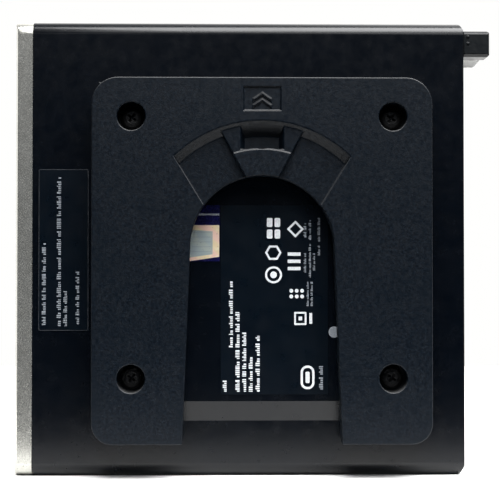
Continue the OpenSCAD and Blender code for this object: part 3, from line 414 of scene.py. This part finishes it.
FINISH = {
    POWDER: ["base_pan", "access_panel", "rear_panel", "option_cover"],
    CHARCOAL: ["mounting_plate"],
    MATT: ["front_insert", "headset_jack", "headphone_jack", "power_inlet", "antenna_plug",
           "fan_housing", "fan_cover", "fan_lead", "speaker"],
    NYLON: ["power_button", "power_switch", "processor_socket", "fan_impeller", "memory_sockets",
            "drive_socket", "coin_cell_holder"],
    SILVER: ["front_bezel"],
    ZINC: ["front_frame", "mounting_nuts", "thumbscrew_retainer", "thumbscrew_nut", "board_screws",
           "option_screw", "heat_sink_screws", "drive_cage"],
    STEEL: ["padlock_loop"],
    OXIDE: ["mounting_screws"],
    KNOB: ["thumbscrew"],
    FILM: ["asset_label", "rating_label"],
    PLATED: [*PORTS, "processor", "coin_cell"],
    ALUMINIUM: ["heat_sink", "disk_drive", "capacitors"],
    BRASS: ["board_posts"],
    CLEAR: ["power_light", "drive_light", "inlet_light"],
    BOARD: ["system_board", "memory_upper", "memory_lower", "solid_state_drive", "wireless_module"],
    RESIN: ["board_chips"],
    FERRITE: ["inductors"],
    NAVY: ["seal_sticker"],
}


def finish_nodes():
    """Gives every CAD node its finish."""
    for material, names in FINISH.items():
        for name in names:
            shown = nodes[name]
            shown.data.materials.clear()
            shown.data.materials.append(material)


def soften(name, width_mm):
    """Rounds a CAD node's sharp edges with modifiers, inside its own outline."""
    weld = nodes[name].modifiers.new("weld", "WELD")
    weld.merge_threshold = WELD_MM * MM
    flats = nodes[name].modifiers.new("flats", "DECIMATE")
    flats.decimate_type = "DISSOLVE"
    flats.angle_limit = math.radians(FLAT_ANGLE)
    bevel = nodes[name].modifiers.new("edge", "BEVEL")
    bevel.width = width_mm * MM
    bevel.segments = EDGE_SEGMENTS
    bevel.limit_method = "ANGLE"
    bevel.angle_limit = math.radians(EDGE_ANGLE)
    bevel.harden_normals = True
    bevel.use_clamp_overlap = False


def paint(name, material, chosen):
    """Gives a second material to the faces of a CAD node whose middle passes the test."""
    faces = nodes[name].data
    faces.materials.append(material)
    for face in faces.polygons:
        if chosen(face.center):
            face.material_index = len(faces.materials) - 1


def paint_mouth(name):
    """Darkens what lies deeper than the rim inside a port's shell."""
    low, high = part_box(name)
    rim = PORT_RIM_MM * MM
    paint(name, MATT, lambda c: all(low[i] + rim < c[i] < high[i] - rim for i in range(3)))


def paint_chips(name, from_mm):
    """Resin on what stands higher than the bare board."""
    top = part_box(name)[0][1] + from_mm * MM
    paint(name, RESIN, lambda c: c.y > top)


def paint_radio():
    """The wireless module's shield and its socket."""
    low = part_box("wireless_module")[0]
    shield_x, shield_y = (low[i] + SHIELD_FROM_MM[i] * MM for i in range(2))
    socket_x = low[0] + RADIO_SOCKET_MM * MM
    paint("wireless_module", PLATED, lambda c: c.x > shield_x and c.y > shield_y)
    paint("wireless_module", NYLON, lambda c: c.x < socket_x)


def paint_lead_plug():
    plug_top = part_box("fan_lead")[0][2] + LEAD_PLUG_MM * MM
    paint("fan_lead", CREAM, lambda c: c.z < plug_top)


def paint_network_pins():
    low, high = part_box("network_jack")
    y0, y1 = (low[1] + depth * MM for depth in PIN_BAND_MM)
    z0, z1 = low[2] + PIN_SIDE_MM * MM, high[2] - PIN_SIDE_MM * MM
    x1 = high[0] - PIN_END_MM * MM
    paint("network_jack", BRASS, lambda c: c.x < x1 and y0 < c.y < y1 and z0 < c.z < z1)


finish_nodes()
for port in PORTS:
    paint_mouth(port)
for board, height in CHIPS_FROM_MM.items():
    paint_chips(board, height)
paint_radio()
paint_lead_plug()
paint_network_pins()
for softened, width in EDGE_MM.items():
    soften(softened, width)


# ---- building pieces ----

def piece(name, build, material, body="case"):
    """A closed mesh piece from a function that fills a bmesh, riding on a body."""
    mesh = bpy.data.meshes.new(name)
    bm = bmesh.new()
    build(bm)
    bmesh.ops.recalc_face_normals(bm, faces=bm.faces)
    bm.to_mesh(mesh)
    bm.free()
    made = bpy.data.objects.new(name, mesh)
    scene.collection.objects.link(made)
    mesh.materials.append(material)
    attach(made, body)


def slab(bm, outline, y0, y1):
    """A flat plate: an outline in X and Z between two depths."""
    near = [bm.verts.new((x, y0, z)) for x, z in outline]
    far = [bm.verts.new((x, y1, z)) for x, z in outline]
    count = len(outline)
    bm.faces.new(near)
    bm.faces.new(far[::-1])
    for i in range(count):
        k = (i + 1) % count
        bm.faces.new((near[i], far[i], far[k], near[k]))


def rect(x0, z0, x1, z1):
    return [(x0, z0), (x1, z0), (x1, z1), (x0, z1)]


def ring_slab(bm, outer, inner, y0, y1):
    """A flat frame between two outlines with the same number of points."""
    rows = [[bm.verts.new((x, y, z)) for x, z in loop] for loop in (outer, inner) for y in (y0, y1)]
    outer_near, outer_far, inner_near, inner_far = rows
    count = len(outer)
    for i in range(count):
        k = (i + 1) % count
        bm.faces.new((outer_near[i], outer_near[k], inner_near[k], inner_near[i]))
        bm.faces.new((outer_far[i], inner_far[i], inner_far[k], outer_far[k]))
        bm.faces.new((outer_near[i], outer_far[i], outer_far[k], outer_near[k]))
        bm.faces.new((inner_near[i], inner_near[k], inner_far[k], inner_far[i]))


def arc(x, z, r, start, end, steps):
    return [(x + r * math.cos(math.radians(a)), z + r * math.sin(math.radians(a)))
            for a in (start + (end - start) * i / steps for i in range(steps + 1))]


def circle(x, z, r, steps=32):
    return arc(x, z, r, 0, 360 * (steps - 1) / steps, steps - 1)


def rounded_rect(x0, z0, x1, z1, r, steps=6):
    corners = (
        (x1 - r, z1 - r, 0), (x0 + r, z1 - r, 90), (x0 + r, z0 + r, 180), (x1 - r, z0 + r, 270),
    )
    return [p for x, z, a in corners for p in arc(x, z, r, a, a + 90, steps)]


# ---- printed labels ----

class Print:
    """Marks printed on a label, in mm from its lower left corner as it is seen from -Y."""

    def __init__(self, node):
        low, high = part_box(node)
        self.left = low[0]
        self.foot = low[2]
        self.width = (high[0] - low[0]) / MM
        self.height = (high[2] - low[2]) / MM
        self.face = low[1] + INK_SUNK
        self.loops = []
        self.rings = []

    def at(self, outline):
        return [(self.left + x * MM, self.foot + z * MM) for x, z in outline]

    def mark(self, outline):
        self.loops.append(self.at(outline))

    def ring(self, outer, inner):
        self.rings.append((self.at(outer), self.at(inner)))

    def column(self, x, z0, z1, height):
        """A line of unreadable bars that runs up the label, where small print would be."""
        z = z0
        base = x + height / 2
        letters = rng.randint(*WORD_LETTERS)
        while z < z1 - LINE_END_MM:
            length = rng.uniform(*LETTER_WIDTHS) * height
            tall = height * rng.choice(LETTER_HEIGHTS)
            self.mark(rect(base - tall, z, base, min(z + length, z1)))
            z += length + MARK_GAP * height
            letters -= 1
            if letters == 0:
                z += WORD_GAP * height
                letters = rng.randint(*WORD_LETTERS)

    def columns(self, lines):
        for line in lines:
            self.column(*line)

    def build(self, bm):
        y0 = self.face - INK_T
        for loop in self.loops:
            slab(bm, loop, y0, self.face)
        for outer, inner in self.rings:
            ring_slab(bm, outer, inner, y0, self.face)


# Lines of small print as (x, foot, head, height) in mm
RATING_LINES = (
    (3.9, 18.3, 44.4, 1.5), (6.5, 1.1, 32.5, 1.6), (9.1, 1.1, 25.0, 1.5), (11.6, 1.1, 15.1, 1.5),
    (14.3, 1.1, 22.8, 1.6), (1.5, 1.1, 6.5, 1.5),
)
RATING_SMALL_LINES = (
    (32.7, 61.0, 66.5, 1.1), (32.7, 47.3, 55.3, 1.0), (34.6, 60.0, 67.7, 1.0),
    (34.6, 45.4, 58.6, 0.9), (36.2, 48.1, 55.0, 0.9), (33.7, 34.3, 44.2, 0.9),
    (35.3, 34.3, 44.2, 0.9), (38.1, 59.4, 69.6, 1.0), (38.1, 54.0, 57.8, 1.0),
    (38.9, 1.9, 11.2, 1.5),
)
ASSET_LINES = (
    (2.2, 2.3, 34.3, 1.5), (8.0, 1.9, 60.0, 1.6), (10.5, 1.9, 16.0, 1.4), (15.2, 2.7, 23.0, 1.4),
)


def four_panes(p, x0, z0):
    for x in (x0, x0 + 3):
        for z in (z0, z0 + 4.5):
            p.mark(rounded_rect(x, z, x + 2.2, z + 3.5, 0.5))


def hollow_disc(p, x, z, r, line, steps=32):
    """A ring, which 6 steps make a hexagon and 4 a diamond."""
    p.ring(circle(x, z, r, steps), circle(x, z, r - line, steps))


def bars(p, x0, z0):
    for z in (z0, z0 + 2.8, z0 + 5.6):
        p.mark(rect(x0, z, x0 + 5, z + 1.3))


def dots(p, x0, z0):
    for x in (x0, x0 + 2.1, x0 + 4.2):
        for z in (z0, z0 + 2.2):
            p.mark(circle(x, z, 0.75, 16))


def nested_squares(p, x0, z0):
    """A square frame around a small square, with a bar beside them."""
    x1, z1 = x0 + 4.8, z0 + 5.1
    line = 0.7
    p.ring(rounded_rect(x0, z0, x1, z1, 0.4),
           rounded_rect(x0 + line, z0 + line, x1 - line, z1 - line, 0.2))
    p.mark(rect(x0 + 1.7, z0 + 1.8, x0 + 3.1, z0 + 3.3))
    p.mark(rect(x0 + 5.9, z0 + 0.5, x0 + 7.0, z0 + 4.7))


def capsule(p, x0, z0):
    x1, z1 = x0 + 5.4, z0 + 9.2
    line = 0.9
    p.ring(rounded_rect(x0, z0, x1, z1, 2.6),
           rounded_rect(x0 + line, z0 + line, x1 - line, z1 - line, 1.7))
    p.mark(rounded_rect(x0 + 1.9, z0 + 2.4, x0 + 3.5, z0 + 6.8, 0.5))


def rating_print():
    """Unreadable lines, and plain shapes where the label's marks would be."""
    p = Print("rating_label")
    p.columns(RATING_LINES)
    four_panes(p, 17.9, 60.5)
    hollow_disc(p, 20.4, 55.0, 3.2, 0.9, 6)
    hollow_disc(p, 20.5, 46.4, 3.3, 0.8)
    p.mark(circle(20.5, 46.4, 1.3))
    hollow_disc(p, 29.0, 64.2, 3.3, 1.1, 4)
    bars(p, 26.0, 48.2)
    dots(p, 27.4, 38.0)
    nested_squares(p, 28.5, 26.9)
    capsule(p, 31.0, 2.0)
    piece("rating_marks", p.build, INK)


def rating_small_print():
    p = Print("rating_label")
    p.columns(RATING_SMALL_LINES)
    piece("rating_small_print", p.build, FAINT)


def pad_dot():
    """A printed dot on the pad beside the label, half hidden under the plate."""
    low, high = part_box("rating_label")
    dot = [(low[0] + x * MM, low[2] + z * MM) for x, z in circle(44.1, 24.2, 2.2)]
    piece("pad_dot", lambda bm: slab(bm, dot, high[1] - INK_T, high[1]), FAINT)


def asset_print():
    """Unreadable lines inside a thin printed frame."""
    p = Print("asset_label")
    p.columns(ASSET_LINES)
    edge = Print("asset_label")
    margin, line = 0.2, 0.16
    right, head = edge.width - margin, edge.height - margin
    edge.ring(rounded_rect(margin, margin, right, head, 0.6),
              rounded_rect(margin + line, margin + line, right - line, head - line, 0.5))
    piece("asset_edge_line", edge.build, LINE)
    piece("asset_print", p.build, FAINT)


def seal_foils():
    """The security seal's foil: a thin bar above a patch with a warm border and a grey field."""
    low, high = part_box("seal_sticker")
    face, top = low[1], high[2]
    x0, x1 = low[0] + 0.2 * MM, high[0] - 0.2 * MM
    foot = low[2] + 0.1 * MM
    patch_top = top - 7.7 * MM
    slope = 1.7 * MM             # how much higher the patch's foot is at its right end
    border = 2.6 * MM            # the warm border's width at the right
    lift = 0.02 * MM             # each foil's thickness
    outer = [(x0, foot), (x1, foot + slope), (x1, patch_top), (x0, patch_top)]
    inner = [(x0, foot + 1.4 * MM), (x1 - border, foot + slope + 1.0 * MM),
             (x1 - border, patch_top - 2.4 * MM), (x0, patch_top - 1.8 * MM)]
    piece("seal_border", lambda bm: slab(bm, outer, face - lift, face), GOLD_FOIL)
    piece("seal_field", lambda bm: slab(bm, inner, face - 2 * lift, face - lift), GREY_FOIL)

    def lines(bm):
        slab(bm, rect(x0, top - 3.9 * MM, x1, top - 3.2 * MM), face - lift, face)
        for i in range(5):
            z = foot + (3.6 + 1.9 * i) * MM
            line = rect(x0 + 0.8 * MM, z, x1 - 3.2 * MM, z + 0.14 * MM)
            slab(bm, line, face - 3 * lift, face - 2 * lift)

    piece("seal_lines", lines, FAINT)


rating_print()
rating_small_print()
pad_dot()
asset_print()
seal_foils()


# ---- stage: floor, lights, camera ----

def build_floor():
    bm = bmesh.new()
    bmesh.ops.create_circle(bm, cap_ends=True, radius=FLOOR_R, segments=FLOOR_SIDES)
    bmesh.ops.translate(bm, verts=bm.verts, vec=(0, FLOOR_R - FLOOR_FRONT, 0))
    mesh = bpy.data.meshes.new("floor")
    bm.to_mesh(mesh)
    bm.free()
    floor = bpy.data.objects.new("floor", mesh)
    scene.collection.objects.link(floor)
    mesh.materials.append(floor_white())


def build_world():
    """Pale studio: bright behind the object, dim and cool in front, so black faces stay black."""
    world = bpy.data.worlds.new("studio")
    scene.world = world
    world.use_nodes = True
    tree = world.node_tree
    tree.nodes.clear()
    link = tree.links.new
    coordinate = tree.nodes.new("ShaderNodeTexCoord")
    split = tree.nodes.new("ShaderNodeSeparateXYZ")
    ramp = tree.nodes.new("ShaderNodeMapRange")
    ramp.inputs["From Min"].default_value = WORLD_TURN[0]
    ramp.inputs["From Max"].default_value = WORLD_TURN[1]
    path = tree.nodes.new("ShaderNodeLightPath")
    room = tree.nodes.new("ShaderNodeMix")
    room.data_type = "RGBA"
    room.inputs["A"].default_value = (*WORLD_FRONT, 1)
    room.inputs["B"].default_value = (*WORLD_BACK, 1)
    seen = tree.nodes.new("ShaderNodeMix")
    seen.data_type = "RGBA"
    seen.inputs["B"].default_value = (*WORLD_SEEN, 1)
    light = tree.nodes.new("ShaderNodeBackground")
    output = tree.nodes.new("ShaderNodeOutputWorld")
    link(coordinate.outputs["Generated"], split.inputs[0])
    link(split.outputs["Y"], ramp.inputs["Value"])
    link(ramp.outputs["Result"], room.inputs["Factor"])
    link(path.outputs["Is Camera Ray"], seen.inputs["Factor"])
    link(room.outputs["Result"], seen.inputs["A"])
    link(seen.outputs["Result"], light.inputs["Color"])
    link(light.outputs[0], output.inputs["Surface"])


def direction(azimuth, elevation):
    """Unit vector away from the object, at degrees to the right of -Y and above the horizon."""
    turn, up = math.radians(azimuth), math.radians(elevation)
    return Vector((math.sin(turn) * math.cos(up), -math.cos(turn) * math.cos(up), math.sin(up)))


def soft_box(name, azimuth, elevation, distance, size, radiance):
    """A rectangular light aimed at the object's middle, from a direction and distance."""
    middle = Vector([(a + b) / 2 for a, b in zip(*cad_box)])
    light = bpy.data.lights.new(name, "AREA")
    light.shape = "RECTANGLE"
    light.size, light.size_y = size
    light.energy = radiance * math.pi * size[0] * size[1]
    lamp = bpy.data.objects.new(name, light)
    away = direction(azimuth, elevation)
    lamp.location = middle + away * distance
    lamp.rotation_euler = away.to_track_quat("Z", "Y").to_euler()
    scene.collection.objects.link(lamp)


def build_camera():
    """Long lens, almost square to the underside, from a touch left and below its middle."""
    data = bpy.data.cameras.new("camera")
    data.sensor_width = SENSOR_MM
    data.lens = SENSOR_MM * SCALE_PX_PER_MM * CAMERA_DISTANCE / MM / FRAME_PX
    camera = bpy.data.objects.new("camera", data)
    plate_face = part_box("mounting_plate")[0][1]
    aim = Vector((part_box("front_bezel")[0][0] + AIM_FROM_BEZEL, plate_face, AIM_HEIGHT))
    away = direction(CAMERA_AZIMUTH, CAMERA_ELEVATION)
    camera.location = aim + away * CAMERA_DISTANCE
    camera.rotation_euler = away.to_track_quat("Z", "Y").to_euler()
    scene.collection.objects.link(camera)
    scene.camera = camera


build_floor()
build_world()
soft_box("key", azimuth=34, elevation=65, distance=1.0, size=(1.3, 0.66), radiance=16)
soft_box("brow", azimuth=12, elevation=36, distance=1.1, size=(1.2, 0.4), radiance=3.0)
build_camera()
scene.view_settings.view_transform = "Standard"
